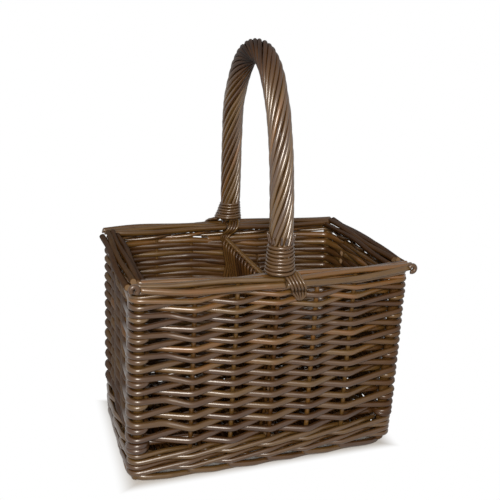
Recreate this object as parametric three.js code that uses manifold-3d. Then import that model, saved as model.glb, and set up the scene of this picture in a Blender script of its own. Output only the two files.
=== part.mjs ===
// Wine bottle basket: a whole-willow carrier with two compartments and a fixed roped handle.
// Millimetres, +Z up, X along the long walls, Y from the front wall to the back wall.
// The origin is on the ground under the middle of the basket.
import * as THREE from 'three';
import { mergeVertices } from 'three/addons/utils/BufferGeometryUtils.js';
import Module from 'manifold-3d';

// Walls: outside sizes of the weave, and how far each wall bows out in plan
const basketLength = 303;
const basketWidth = 205;
const baseLength = 307;
const baseWidth = 189;
const wallHeight = 216;
const longWallBow = 4;
const shortWallBow = 1.2;

// Uprights
const stakeDiameter = 5;
const stakeSides = 6;
const postDiameter = 11.5;
const postSides = 8;
const longStakeSpacing = 43.5;
const longStakeCount = 5;
const shortStakeSpacing = 46;
const shortStakeCount = 3;

// Wall weavers: two rods that chase each other round the basket, a row at a time.
// The rods are thick at the foot of the wall and thin at its top, and the rows' pitch follows them.
const bottomRowPitch = 7.2;
const topRowPitch = 4.9;
const rowGap = 0.4;
const weaverFlatness = 0.94;
const roundsPerWeaver = 14;
const weaverSides = 4;
const stepFirstStation = 12;
const stepLastStation = 14;
const innerWrapShare = 0.53;

// Wales: rows of three rods, each in front of two uprights and behind one
const bottomWaleRodDiameter = 5.5;
const topWaleRodDiameter = 4.2;
const waleRiseShare = 0.62;
const waleSlack = 0.8;
const waleRounds = 3;
const bottomWaleRows = 2;
const waleSides = 4;

// Clearance between rods that lie against each other, and between a rod's two ends
const rodClearance = 0.35;
const endGap = 0.5;

// Foot border
const footRodDiameter = 6.8;
const footSides = 6;

// Base
const baseStickDiameter = 6;
const baseStickSides = 6;
const baseStickCount = 5;
const baseWeaverThickness = 4.2;
const baseWeaverWidth = 8.8;
const baseWeaverGap = 1.2;
const baseWeaverSides = 4;

// Top border: four rods side by side along each wall
const borderRodDiameter = 6;
const borderEdgeDrop = 2.8;
const borderSides = 6;
const longBorderSteps = 10;
const shortBorderSteps = 4;
const partReachShare = 1.1;
const endStaggerShares = { outer_edge: 0.5, outer_crown: 0, inner_crown: 0.4, inner_edge: 0.9 };

// Divider
const dividerTopBelowRim = 20;
const dividerRodDiameter = 5;
const dividerRodSides = 6;
const dividerRodCount = 4;
const skeinDiameter = 2.9;
const skeinGap = 0.5;
const skeinSides = 4;

// Handle
const handleRise = 217;
const archSquareness = 2.05;
const bowDiameter = 13;
const ropeDiameter = 25;
const ropeFootDiameter = 29;
const ropeGroove = 1.5;
const ropeLead = 194;
const ropeStrands = 11;
const ropeSteps = 25;
const bowSides = 8;

// Collars: a skein wound round each foot of the handle
const collarSkeinDiameter = 3.1;
const collarPitch = 3.7;
const collarClearance = 0.42;
const frontCollarTurns = 8;
const backCollarTurns = 6;
const collarStepsPerTurn = 14;
const collarSides = 5;

// Ties: flat bundles of rods that bind the handle's feet over the border
const tieRodDiameter = 3.6;
const tieRods = 4;
const tieThickness = 3.2;
const tieSteps = 6;
const tieLeanShare = 0.55;
const tieSlackShare = 1.14;
const tieHollowShare = 0.4;
const tieUndersideShare = 0.75;
const tieRoundShares = [0.9, 0.45, 0, -0.45];

// Colours and gloss of the stained and varnished willow
const willow = new THREE.Color(0.2, 0.125, 0.07);
const willowDark = new THREE.Color(0.13, 0.085, 0.055);
const willowRed = new THREE.Color(0.26, 0.12, 0.06);
const willowLight = new THREE.Color(0.3, 0.22, 0.13);
const varnishRoughness = 0.42;
const polishedRoughness = 0.32;

const halfTurn = Math.PI;
const quarterTurn = Math.PI / 2;
const eighthTurn = Math.PI / 4;
const up = new THREE.Vector3(0, 0, 1);
const alongX = new THREE.Vector3(1, 0, 0);
const alongY = new THREE.Vector3(0, 1, 0);

const basket = new THREE.Group();

const wasm = await Module();
wasm.setup();

function solidOf(geometry) {
  const bare = geometry.clone();
  bare.deleteAttribute('normal');
  bare.deleteAttribute('uv');
  const merged = mergeVertices(bare);
  const vertProperties = Float32Array.from(merged.getAttribute('position').array);
  const triVerts = Uint32Array.from(merged.index.array);
  return new wasm.Manifold(new wasm.Mesh({ numProp: 3, vertProperties, triVerts }));
}

function geometryOf(solid) {
  const { vertProperties, triVerts } = solid.getMesh();
  const geometry = new THREE.BufferGeometry();
  geometry.setAttribute('position', new THREE.BufferAttribute(vertProperties, 3));
  geometry.setIndex(new THREE.BufferAttribute(triVerts, 1));
  geometry.computeVertexNormals();
  return geometry;
}

function addPiece(name, geometry, color, roughness = varnishRoughness) {
  const material = new THREE.MeshStandardMaterial({ color, roughness, metalness: 0 });
  const piece = new THREE.Mesh(geometry, material);
  piece.name = name;
  basket.add(piece);
}

// A rod's path: its own points, with frames that keep the section square to a reference direction.
class RodPath extends THREE.Curve {
  constructor(points, reference, widths, heights, turns) {
    super();
    this.points = points;
    this.reference = reference;
    this.widths = widths;
    this.heights = heights;
    this.turns = turns;
  }

  getPoint(share) {
    return this.points[Math.round(share * (this.points.length - 1))].clone();
  }

  getSpacedPoints() {
    return this.points;
  }

  computeFrenetFrames() {
    const frames = { tangents: [], normals: [], binormals: [] };
    const last = this.points.length - 1;
    for (let i = 0; i <= last; i += 1) {
      const before = this.points[Math.max(i - 1, 0)];
      const after = this.points[Math.min(i + 1, last)];
      const coming = this.points[i].clone().sub(before).normalize();
      const going = after.clone().sub(this.points[i]).normalize();
      if (i === 0) coming.copy(going);
      if (i === last) going.copy(coming);
      const tangent = coming.clone().add(going).normalize();
      const side = this.reference.clone().cross(tangent).normalize();
      const top = tangent.clone().cross(side).normalize();
      const turn = this.turns[i];
      const across = side.clone().multiplyScalar(Math.cos(turn)).addScaledVector(top, Math.sin(turn));
      const upward = top.clone().multiplyScalar(Math.cos(turn)).addScaledVector(side, -Math.sin(turn));
      const bend = going.clone().sub(coming);
      if (bend.lengthSq() > 0) {
        // The section is drawn out in the plane of the bend, so the rod keeps its thickness round it.
        bend.normalize();
        const stretch = 1 / tangent.dot(going) - 1;
        across.addScaledVector(bend, stretch * across.dot(bend));
        upward.addScaledVector(bend, stretch * upward.dot(bend));
      }
      frames.tangents.push(tangent);
      frames.normals.push(across.multiplyScalar(this.widths[i]));
      frames.binormals.push(upward.multiplyScalar(this.heights[i]));
    }
    return frames;
  }
}

// A regular section of radius 1; its flats lie level where `onFlat` is set.
function unitSection(sides, onFlat = false) {
  const start = onFlat ? quarterTurn + halfTurn / sides : quarterTurn;
  const corners = [];
  for (let k = 0; k < sides; k += 1) {
    const angle = start + 2 * halfTurn * k / sides;
    corners.push(new THREE.Vector2(Math.cos(angle), Math.sin(angle)));
  }
  return new THREE.Shape(corners);
}

function perPoint(points, value) {
  if (Array.isArray(value)) return value;
  return points.map(() => value);
}

// A rod along a list of points. Width, height and turn are one value each, or a list with one for each point.
function rod(points, section, width, height = width, reference = up, turn = 0) {
  const widths = perPoint(points, width).map((size) => size / 2);
  const heights = perPoint(points, height).map((size) => size / 2);
  const extrudePath = new RodPath(points, reference, widths, heights, perPoint(points, turn));
  const steps = points.length - 1;
  return new THREE.ExtrudeGeometry(section, { steps, extrudePath, bevelEnabled: false });
}

function mix(from, to, share) {
  return from + (to - from) * share;
}

// Rows of the wall weave, counted from 0 at the foot
const lastRow = 2 * roundsPerWeaver - 1;

function rowThickness(row) {
  return mix(bottomRowPitch, topRowPitch, row / lastRow) - rowGap;
}

function rowWidth(row) {
  return rowThickness(row) * weaverFlatness;
}

// Walls' middle surface: the uprights stand in it, and the weavers pass on both sides of it
function weaveSpread(row) {
  return stakeDiameter / 2 + rodClearance + rowWidth(row) / 2;
}

function halfWallAt(z) {
  return stakeDiameter / 2 + rodClearance + mix(rowWidth(0), rowWidth(lastRow), z / wallHeight);
}

function halfLengthAt(z) {
  return mix(baseLength, basketLength, z / wallHeight) / 2 - halfWallAt(z);
}

function halfWidthAt(z) {
  return mix(baseWidth, basketWidth, z / wallHeight) / 2 - halfWallAt(z);
}

// Walls in order: 0 front, 1 right, 2 back, 3 left, run through anticlockwise seen from above.
function isLong(wall) {
  return wall % 2 === 0;
}

function wallPoint(wall, along, outward, z) {
  const half = isLong(wall) ? halfLengthAt(z) : halfWidthAt(z);
  const depth = isLong(wall) ? halfWidthAt(z) : halfLengthAt(z);
  const bow = (isLong(wall) ? longWallBow : shortWallBow) * (1 - Math.min(1, (along / half) ** 2));
  const point = new THREE.Vector3(along, -(depth + bow + outward), z);
  return point.applyAxisAngle(up, wall * quarterTurn);
}

// The posts stand in from the corners, so that their outer faces line up with the stakes'.
const postInset = (postDiameter - stakeDiameter) / 2;

function postPoint(corner, z) {
  const [sideX, sideY] = [[-1, -1], [1, -1], [1, 1], [-1, 1]][corner];
  return new THREE.Vector3(sideX * (halfLengthAt(z) - postInset), sideY * (halfWidthAt(z) - postInset), z);
}

// A level step from a corner post's middle, at an angle to the direction that points out of the corner.
function cornerStep(corner, angle, length) {
  const direction = corner * quarterTurn - 3 * eighthTurn + angle;
  return new THREE.Vector3(Math.cos(direction), Math.sin(direction), 0).multiplyScalar(length);
}

// Stations: each corner post and the stakes of the wall after it, in walking order
const stations = [];
for (let wall = 0; wall < 4; wall += 1) {
  stations.push({ post: true, corner: wall });
  const count = isLong(wall) ? longStakeCount : shortStakeCount;
  const spacing = isLong(wall) ? longStakeSpacing : shortStakeSpacing;
  for (let k = 0; k < count; k += 1) {
    stations.push({ post: false, wall, along: (k - (count - 1) / 2) * spacing });
  }
}
const stationCount = stations.length;

// Points of a rod that passes a station on its outer or inner side.
const wrapAngles = [-eighthTurn, 0, eighthTurn];
const innerAngle = eighthTurn * innerWrapShare;

function passStation(index, outside, spread, rodWidth, z) {
  const station = stations[index % stationCount];
  if (!station.post) return [wallPoint(station.wall, station.along, outside ? spread : -spread, z)];
  const clear = postDiameter / 2 + rodClearance + rodWidth / 2;
  const angles = outside ? wrapAngles : [halfTurn + innerAngle, halfTurn - innerAngle];
  const radius = clear / Math.cos(outside ? eighthTurn / 2 : innerAngle);
  return angles.map((angle) => postPoint(station.corner, z).add(cornerStep(station.corner, angle, radius)));
}

// The point of the walls' middle surface halfway between two stations.
function betweenStations(index, z) {
  const here = stations[index % stationCount];
  const next = stations[(index + 1) % stationCount];
  const wall = here.post ? here.corner : here.wall;
  const half = isLong(wall) ? halfLengthAt(z) : halfWidthAt(z);
  const from = here.post ? -half + postInset : here.along;
  const to = next.post ? half - postInset : next.along;
  return wallPoint(wall, (from + to) / 2, 0, z);
}

// Heights, from the ground up
const footTop = footRodDiameter * Math.cos(halfTurn / footSides);
const uprightFoot = footTop + rodClearance;

function waleHalfHeight(rodDiameter) {
  return rodDiameter * (waleRiseShare + 0.5);
}

const bottomWaleHalf = waleHalfHeight(bottomWaleRodDiameter);
const topWaleHalf = waleHalfHeight(topWaleRodDiameter);
const bottomWalePitch = 2 * bottomWaleHalf + rodClearance;
const bottomWaleLevel = 2 * footTop + rodClearance + bottomWaleHalf;
const bottomWaleTop = bottomWaleLevel + (bottomWaleRows - 1) * bottomWalePitch + bottomWaleHalf;
const firstRowLevel = bottomWaleTop + rodClearance + rowThickness(0) / 2;

function rowLevel(row) {
  return firstRowLevel + row * mix(bottomRowPitch, topRowPitch, row / (2 * lastRow));
}

const topWaleLevel = rowLevel(lastRow) + rowThickness(lastRow) / 2 + rodClearance + topWaleHalf;
const topWaleTop = topWaleLevel + topWaleHalf;

// Top border: two rods over the stakes' tops, and one lower rod along each side of them
const borderRadius = borderRodDiameter / 2;
const borderStep = borderRodDiameter + rodClearance;
const edgeLevel = topWaleTop + rodClearance + borderRadius;
const crownLevel = edgeLevel + borderEdgeDrop;
const rimTop = crownLevel + borderRadius;
const stakeTop = crownLevel - borderRadius - rodClearance;
const postTop = edgeLevel - borderRadius - rodClearance;
const crownOutward = borderStep / 2;
const edgeOutward = crownOutward + Math.sqrt(borderStep ** 2 - borderEdgeDrop ** 2);
const borderPlaces = {
  outer_edge: { outward: edgeOutward, level: edgeLevel },
  outer_crown: { outward: crownOutward, level: crownLevel },
  inner_crown: { outward: -crownOutward, level: crownLevel },
  inner_edge: { outward: -edgeOutward, level: edgeLevel },
};

// Uprights: posts up to the border's corners and stakes up to its two crown rods
const wallNames = ['front', 'right', 'back', 'left'];
const cornerNames = ['front_left', 'front_right', 'back_right', 'back_left'];

function addPost(corner) {
  const ends = [postPoint(corner, uprightFoot), postPoint(corner, postTop)];
  const post = rod(ends, unitSection(postSides, true), postDiameter, postDiameter, alongX);
  addPiece(`corner_post_${cornerNames[corner]}`, post, willowDark);
}

function addStake(wall, along, number) {
  const ends = [wallPoint(wall, along, 0, uprightFoot), wallPoint(wall, along, 0, stakeTop)];
  const stake = rod(ends, unitSection(stakeSides), stakeDiameter, stakeDiameter, alongX);
  addPiece(`stake_${wallNames[wall]}_${number}`, stake, willowDark);
}

// The middle stake of each long wall is a foot of the handle's bow.
function addUprights() {
  const counts = [0, 0, 0, 0];
  for (const { post, corner, wall, along } of stations) {
    if (post) {
      addPost(corner);
      continue;
    }
    counts[wall] += 1;
    if (!isLong(wall) || along !== 0) addStake(wall, along, counts[wall]);
  }
}

// Wall weavers: level rows that step up by two rows at one place on the back wall
function addWallWeaver(name, firstRow) {
  const points = [];
  const rows = [];
  const end = stationCount * roundsPerWeaver + stepFirstStation;
  for (let index = stepLastStation; index <= end; index += 1) {
    const round = Math.floor((index - stepLastStation) / stationCount);
    const pastStep = index - (round + 1) * stationCount - stepFirstStation;
    const rise = Math.max(0, pastStep) / (stepLastStation - stepFirstStation);
    const row = firstRow + 2 * (round + rise);
    const outside = index % 2 === firstRow;
    const passed = passStation(index, outside, weaveSpread(row), rowWidth(row), rowLevel(row));
    points.push(...passed);
    rows.push(...passed.map(() => row));
  }
  const weaver = rod(points, unitSection(weaverSides), rows.map(rowWidth), rows.map(rowThickness));
  addPiece(name, weaver, willow);
}

// Wales: one long rod that goes three times round and closes on itself
function addWale(name, level, rodDiameter) {
  const points = [];
  const rise = rodDiameter * waleRiseShare;
  const spread = stakeDiameter / 2 + waleSlack + rodDiameter / 2;
  for (let index = 0; index < stationCount * waleRounds; index += 1) {
    const phase = index % waleRounds;
    const lift = [-rise, rise, 0][phase];
    points.push(...passStation(index, phase < 2, spread, rodDiameter, level + lift));
    if (phase === 1) points.push(betweenStations(index, level + rise));
    if (phase === 2) points.push(betweenStations(index, level - rise));
  }
  addPiece(name, rod(openedLoop(points), unitSection(waleSides), rodDiameter), willow);
}

// A closed loop of points as an open rod, whose two ends face each other across a small gap.
function openedLoop(points) {
  const first = points[0];
  const last = points[points.length - 1];
  const middle = first.clone().lerp(last, 0.5);
  const back = first.clone().sub(last).normalize().multiplyScalar(endGap / 2);
  return [middle.clone().add(back), ...points, middle.clone().sub(back)];
}

// The foot rod runs under the uprights and rounds each corner under its post.
function addFootBorder() {
  const level = footTop / 2;
  const points = [];
  for (const { post, corner, wall, along } of stations) {
    if (post) {
      for (const angle of wrapAngles) {
        points.push(postPoint(corner, level).add(cornerStep(corner, angle, postInset)));
      }
    } else {
      points.push(wallPoint(wall, along, 0, level));
    }
  }
  addPiece('foot_border', rod(openedLoop(points), unitSection(footSides, true), footRodDiameter), willowDark);
}

// A weaver that runs to and fro over a row of level rods, round the end rod at each turn.
// place(travel, pass, side) gives a point from a rod's place, a pass number and a height off the rods.
const capReachShare = 1.11;
const capCornerShare = 0.63;

function panelPath(rodPlaces, passes, clear, place) {
  const reach = clear * capReachShare;
  const points = [];
  for (let pass = 0; pass < passes; pass += 1) {
    const order = pass % 2 === 0 ? rodPlaces : [...rodPlaces].reverse();
    order.forEach((travel, k) => {
      const j = pass % 2 === 0 ? k : rodPlaces.length - 1 - k;
      const side = (pass + j) % 2 === 0 ? 1 : -1;
      const atEnd = k === 0 || k === order.length - 1;
      points.push(place(travel, pass, side * (atEnd ? reach : clear)));
      if (k === order.length - 1 && pass < passes - 1) {
        const outer = travel + Math.sign(travel - order[0]) * reach;
        points.push(place(outer, pass + 1 / 3, side * reach * capCornerShare));
        points.push(place(outer, pass + 2 / 3, -side * reach * capCornerShare));
      }
    });
  }
  return points;
}

// Inside faces of the walls, where the base and the divider meet the weave
function insideFaceAt(z) {
  return halfWallAt(z) + rodClearance;
}

// Base: sticks along the length, with one flat weaver across them, out to the bottom wale's inner face
const baseLevel = bottomWaleLevel;
const baseInset = stakeDiameter / 2 + waleSlack + bottomWaleRodDiameter + rodClearance;
const baseClear = baseStickDiameter / 2 + rodClearance + baseWeaverThickness / 2;
const baseTop = baseLevel + baseClear * capReachShare + baseWeaverThickness / 2;

function addBase() {
  const halfLength = halfLengthAt(baseLevel) - baseInset;
  const halfWidth = halfWidthAt(baseLevel) - baseInset;
  const edge = halfWidth - baseClear * capReachShare - baseWeaverThickness / 2;
  const places = [];
  for (let k = 0; k < baseStickCount; k += 1) places.push(mix(-edge, edge, k / (baseStickCount - 1)));
  places.forEach((y, k) => {
    const ends = [new THREE.Vector3(-halfLength, y, baseLevel), new THREE.Vector3(halfLength, y, baseLevel)];
    addPiece(`base_stick_${k + 1}`, rod(ends, unitSection(baseStickSides), baseStickDiameter), willowDark);
  });
  const room = 2 * halfLength - baseWeaverWidth;
  const passes = Math.floor(room / (baseWeaverWidth + baseWeaverGap)) + 1;
  const pitch = room / (passes - 1);
  const path = panelPath(places, passes, baseClear, (y, pass, side) => {
    return new THREE.Vector3(-room / 2 + pass * pitch, y, baseLevel + side);
  });
  const section = unitSection(baseWeaverSides);
  addPiece('base_weaver', rod(path, section, baseWeaverThickness, baseWeaverWidth, alongX), willow);
}

// Along the long walls the border's rods part at the middle, and the handle's bow passes between them.
const partReach = partReachShare * longStakeSpacing;
const partWidth = stakeDiameter / 2 + rodClearance + borderRadius - crownOutward;

function partingAt(along) {
  return partWidth * Math.sin(Math.max(0, 1 - Math.abs(along) / partReach) * quarterTurn) ** 2;
}

// The long walls' rods run past the corners, and the short walls' rods end against them.
const borderOverhang = edgeOutward + borderRadius;

function addBorderRod(wall, key) {
  const { outward, level } = borderPlaces[key];
  const long = halfLengthAt(level) + borderOverhang - endStaggerShares[key] * borderRodDiameter;
  const short = halfWidthAt(level) - borderOverhang - endGap;
  const ends = isLong(wall) ? long : short;
  const steps = isLong(wall) ? longBorderSteps : shortBorderSteps;
  const points = [];
  for (let k = 0; k <= steps; k += 1) {
    const along = mix(-ends, ends, k / steps);
    const parting = isLong(wall) ? Math.sign(outward) * partingAt(along) : 0;
    points.push(wallPoint(wall, along, outward + parting, level));
  }
  const borderRod = rod(points, unitSection(borderSides), borderRodDiameter);
  addPiece(`border_${wallNames[wall]}_${key}`, borderRod, willow);
}

function addBorder() {
  for (let wall = 0; wall < wallNames.length; wall += 1) {
    for (const key of Object.keys(borderPlaces)) addBorderRod(wall, key);
  }
}

// Divider: level rods from wall to wall, with a skein woven up and down over them
const dividerClear = dividerRodDiameter / 2 + rodClearance + skeinDiameter / 2;
const skeinReach = dividerClear * capReachShare + skeinDiameter / 2;
const dividerFootLevel = baseTop + rodClearance + skeinReach;
const dividerTopLevel = rimTop - dividerTopBelowRim - skeinReach;

function dividerHalfAt(z) {
  return halfWidthAt(z) + longWallBow - insideFaceAt(z);
}

function addDivider() {
  const levels = [];
  for (let k = 0; k < dividerRodCount; k += 1) {
    const level = mix(dividerFootLevel, dividerTopLevel, k / (dividerRodCount - 1));
    levels.push(level);
    const half = dividerHalfAt(level);
    const ends = [new THREE.Vector3(0, -half, level), new THREE.Vector3(0, half, level)];
    addPiece(`divider_rod_${k + 1}`, rod(ends, unitSection(dividerRodSides), dividerRodDiameter), willowDark);
  }
  const footRoom = 2 * dividerHalfAt(dividerFootLevel - skeinReach) - skeinDiameter;
  const passes = Math.floor(footRoom / (skeinDiameter + skeinGap)) + 1;
  const path = panelPath(levels, passes, dividerClear, (z, pass, side) => {
    const half = dividerHalfAt(z) - skeinDiameter / 2;
    return new THREE.Vector3(side, mix(-half, half, pass / (passes - 1)), z);
  });
  const skein = rod(path, unitSection(skeinSides), skeinDiameter, skeinDiameter, alongY);
  addPiece('divider_skein', skein, willowRed);
}

// Handle: a squarish arch that springs from the middle surface of the long walls
const archHalfSpan = -wallPoint(0, 0, 0, rimTop).y;
const handleFoot = rimTop + tieThickness;

function archPoint(angle) {
  const power = 2 / archSquareness;
  const reach = Math.abs(Math.cos(angle)) ** power * archHalfSpan;
  const rise = Math.sin(angle) ** power * handleRise;
  return new THREE.Vector3(0, -Math.sign(Math.cos(angle)) * reach, rimTop + rise);
}

function archAngleAt(level) {
  return Math.asin(((level - rimTop) / handleRise) ** (archSquareness / 2));
}

function archPath(fromLevel, steps) {
  const start = archAngleAt(fromLevel);
  const points = [];
  for (let k = 0; k <= steps; k += 1) points.push(archPoint(mix(start, halfTurn - start, k / steps)));
  return points;
}

// Lengths from the start of a path to each of its points.
function travelled(points) {
  const lengths = [0];
  for (let i = 1; i < points.length; i += 1) {
    lengths.push(lengths[i - 1] + points[i].distanceTo(points[i - 1]));
  }
  return lengths;
}

const ropePath = archPath(handleFoot, ropeSteps);

// The bow: a thick rod that is thinned below the strands and goes down through each long wall as a stake
function addBow() {
  const foot = [wallPoint(0, 0, 0, uprightFoot), wallPoint(0, 0, 0, rimTop)];
  const farFoot = foot.map((point) => point.clone().applyAxisAngle(up, halfTurn)).reverse();
  const path = [...foot, ...ropePath, ...farFoot];
  const widths = path.map((point) => (point.z < handleFoot + rodClearance ? stakeDiameter : bowDiameter));
  addPiece('handle_bow', rod(path, unitSection(bowSides), widths, widths, alongX), willowDark);
}

// The rope: strands twisted round the bow, and spread where the collars hold them
function ropeDiameterAt(fromEnd) {
  return mix(ropeFootDiameter, ropeDiameter, Math.min(1, fromEnd / (frontCollarTurns * collarPitch)));
}

function strandSection() {
  const outline = [];
  for (let k = 0; k < 2 * ropeStrands; k += 1) {
    const angle = halfTurn * k / ropeStrands;
    const radius = k % 2 === 0 ? 1 : 1 - 2 * ropeGroove / ropeDiameter;
    outline.push(new THREE.Vector2(radius * Math.cos(angle), radius * Math.sin(angle)));
  }
  return new THREE.Shape(outline);
}

function addRope() {
  const lengths = travelled(ropePath);
  const total = lengths[lengths.length - 1];
  const widths = lengths.map((length) => ropeDiameterAt(Math.min(length, total - length)));
  const twists = lengths.map((length) => 2 * halfTurn * length / ropeLead);
  const rope = solidOf(rod(ropePath, strandSection(), widths, widths, alongX, twists));
  // The strands' bore runs past both ends, so that the bow lies in it from foot to foot.
  const feet = [ropePath[0], ropePath[ropeSteps]];
  const boreEnds = feet.map((end) => end.clone().addScaledVector(up, -bowDiameter));
  const borePath = [boreEnds[0], ...ropePath, boreEnds[1]];
  const boreDiameter = bowDiameter + 2 * rodClearance;
  const bore = solidOf(rod(borePath, unitSection(bowSides), boreDiameter, boreDiameter, alongX));
  addPiece('handle_rope', geometryOf(rope.subtract(bore)), willow, polishedRoughness);
}

// Collars: each is one skein wound up the handle's foot
function collarPath(turns) {
  const steps = turns * collarStepsPerTurn;
  const points = [];
  for (let k = 0; k <= steps; k += 1) {
    const level = handleFoot + collarSkeinDiameter / 2 + collarPitch * k / collarStepsPerTurn;
    const axis = archPoint(archAngleAt(level));
    const clear = ropeDiameterAt(level - handleFoot) / 2 + collarClearance + collarSkeinDiameter / 2;
    const radius = clear / Math.cos(halfTurn / collarStepsPerTurn);
    const angle = 2 * halfTurn * k / collarStepsPerTurn;
    points.push(new THREE.Vector3(radius * Math.cos(angle), axis.y + radius * Math.sin(angle), level));
  }
  return points;
}

function leastGap(points, apart, diameter) {
  let least = Infinity;
  for (let i = 0; i < points.length; i += 1) {
    for (let j = i + apart; j < points.length; j += 1) {
      least = Math.min(least, points[i].distanceTo(points[j]));
    }
  }
  return least - diameter;
}

function addCollar(name, turns, faceTurn) {
  const points = collarPath(turns).map((point) => point.applyAxisAngle(up, faceTurn));
  const gap = leastGap(points, collarStepsPerTurn / 2, collarSkeinDiameter);
  console.log(`${name}: least gap between turns ${gap.toFixed(2)} mm`);
  addPiece(name, rod(points, unitSection(collarSides), collarSkeinDiameter), willowLight, polishedRoughness);
}

// Ties: bundles from under a collar, over the border and down against the weave
const tieReach = borderRadius + rodClearance + tieThickness / 2;
const weaveFaceReach = halfWallAt(wallHeight) + 2 * rodClearance + tieThickness / 2;
const tieWidth = tieRods * tieRodDiameter;

function tieSection() {
  const corners = [
    new THREE.Vector2(-1, 0),
    new THREE.Vector2(-tieUndersideShare, -1),
    new THREE.Vector2(tieUndersideShare, -1),
    new THREE.Vector2(1, 0),
  ];
  for (let k = 2 * tieRods - 1; k >= 1; k -= 1) {
    corners.push(new THREE.Vector2(k / tieRods - 1, k % 2 === 1 ? 1 : tieHollowShare));
  }
  return new THREE.Shape(corners);
}

// The bundle's rods lie side by side down one profile, and the whole bundle leans along the wall.
function addTie(name, wall, side) {
  const edge = edgeOutward + partWidth;
  const profile = tieRoundShares.map((share) => {
    const angle = share * quarterTurn;
    const outward = edge + tieReach * tieSlackShare * Math.cos(angle);
    return wallPoint(0, 0, side * outward, edgeLevel + tieReach * tieSlackShare * Math.sin(angle));
  });
  profile.push(wallPoint(0, 0, side * weaveFaceReach, edgeLevel - 2 * tieReach));
  profile.push(wallPoint(0, 0, side * weaveFaceReach, edgeLevel - 3 * tieReach));
  const path = new THREE.CatmullRomCurve3(profile).getPoints(tieSteps);
  const facing = new THREE.Vector3(0, -side, 0);
  const geometry = rod(path, tieSection(), tieWidth, tieThickness, facing);
  const top = profile[0].z;
  const position = geometry.getAttribute('position');
  for (let i = 0; i < position.count; i += 1) {
    position.setX(i, position.getX(i) + tieWidth / 2 + tieLeanShare * (top - position.getZ(i)));
  }
  geometry.rotateZ(wall * quarterTurn);
  geometry.computeVertexNormals();
  addPiece(name, geometry, willowLight);
}

addUprights();
addWallWeaver('wall_weaver_outer_posts', 0);
addWallWeaver('wall_weaver_inner_posts', 1);
for (let row = 0; row < bottomWaleRows; row += 1) {
  addWale(`bottom_wale_${row + 1}`, bottomWaleLevel + row * bottomWalePitch, bottomWaleRodDiameter);
}
addWale('top_wale', topWaleLevel, topWaleRodDiameter);
addFootBorder();
addBase();
addBorder();
addDivider();
addBow();
addRope();
addCollar('front_collar', frontCollarTurns, 0);
addCollar('back_collar', backCollarTurns, halfTurn);
addTie('front_outer_tie', 0, 1);
addTie('front_inner_tie', 0, -1);
addTie('back_outer_tie', 2, 1);
addTie('back_inner_tie', 2, -1);

export default basket;
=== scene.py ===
"""Looks of the wine bottle basket: varnished willow rods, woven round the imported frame.

Every piece stands for the CAD node of the same name and lies where that node lies.
Lengths are in metres, in the CAD frame: +Z up, X along the long walls, Y from front to back.
Walls and corners are counted anticlockwise, seen from above, from the front wall and its left corner.
"""
import math
import random

import bpy
import numpy as np
from mathutils import Matrix, Vector


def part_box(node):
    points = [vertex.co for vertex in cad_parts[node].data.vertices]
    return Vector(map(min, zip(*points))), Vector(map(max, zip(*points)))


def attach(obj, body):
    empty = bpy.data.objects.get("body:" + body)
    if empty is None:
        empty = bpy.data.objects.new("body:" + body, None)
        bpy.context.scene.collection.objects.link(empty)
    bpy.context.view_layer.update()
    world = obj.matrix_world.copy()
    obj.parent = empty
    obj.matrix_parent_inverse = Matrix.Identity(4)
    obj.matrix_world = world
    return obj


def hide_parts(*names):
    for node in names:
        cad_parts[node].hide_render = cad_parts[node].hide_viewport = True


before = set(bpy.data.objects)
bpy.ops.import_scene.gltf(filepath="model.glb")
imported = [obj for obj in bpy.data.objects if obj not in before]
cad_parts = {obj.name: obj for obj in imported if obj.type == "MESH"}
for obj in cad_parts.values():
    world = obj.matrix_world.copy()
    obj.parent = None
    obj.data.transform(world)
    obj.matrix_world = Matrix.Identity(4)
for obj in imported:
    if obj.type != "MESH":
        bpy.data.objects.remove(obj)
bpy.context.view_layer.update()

MM = 0.001
QUARTER = math.pi / 2
EIGHTH = math.pi / 4
UP = np.array([0.0, 0.0, 1.0])
ALONG_X = np.array([1.0, 0.0, 0.0])
ALONG_Y = np.array([0.0, 1.0, 0.0])
BODY = "root"
WALLS = ("front", "right", "back", "left")
CORNERS = ("front_left", "front_right", "back_right", "back_left")
CORNER_SIDES = ((-1, -1), (1, -1), (1, 1), (-1, 1))

# Walls
BASKET_LENGTH = 303 * MM
BASKET_WIDTH = 205 * MM
BASE_LENGTH = 307 * MM
BASE_WIDTH = 189 * MM
WALL_HEIGHT = 216 * MM
LONG_WALL_BOW = 4 * MM
SHORT_WALL_BOW = 1.2 * MM
CLEARANCE = 0.35 * MM

# Uprights. The stakes of a wall are a number and a distance, and a tone is its middle and its spread.
STAKE_DIAMETER = 5 * MM
POST_DIAMETER = 11.5 * MM
POST_INSET = (POST_DIAMETER - STAKE_DIAMETER) / 2
LONG_STAKES = (5, 43.5 * MM)
SHORT_STAKES = (3, 46 * MM)
UPRIGHT_TONE = (0.6, 0.12)
UPRIGHT_GLOSS_SHARE = 2

# Weave: four values are for the front, right, back and left wall, and fullnesses for the bottom and top row
ROWS = 28
BOTTOM_PITCH = 7.2 * MM
TOP_PITCH = 4.9 * MM
ROW_GAP = 0.4 * MM
ROW_WAVER = 0.3 * MM
ROD_FULLNESSES = (0.97, 1.14)
WEAVER_FLATNESS = 0.94
ROW_DIPS = (1.9 * MM, 0.6 * MM, 0.5 * MM, 0.7 * MM)
DIP_RANGE = (0.8, 1.2)
SPREAD_SHARES = (1, 0.3, 0.45, 0.32)
WALL_FULLNESSES = (1.07, 1.42, 1.35, 1.2)
WALL_GLOSSES = (1, 0.5, 1, 0.25)
STAKE_ROUNDING = 0.2 * MM
JOINT_GAP = 0.03

# A weaver steps up by two rows between two stations, and each of its rods is some stations long
STEP_FIRST = 12
STEP_LAST = 14
ROD_STATIONS = (15, 17, 19, 21, 23)
SHORTEST_ROD = 8

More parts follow.
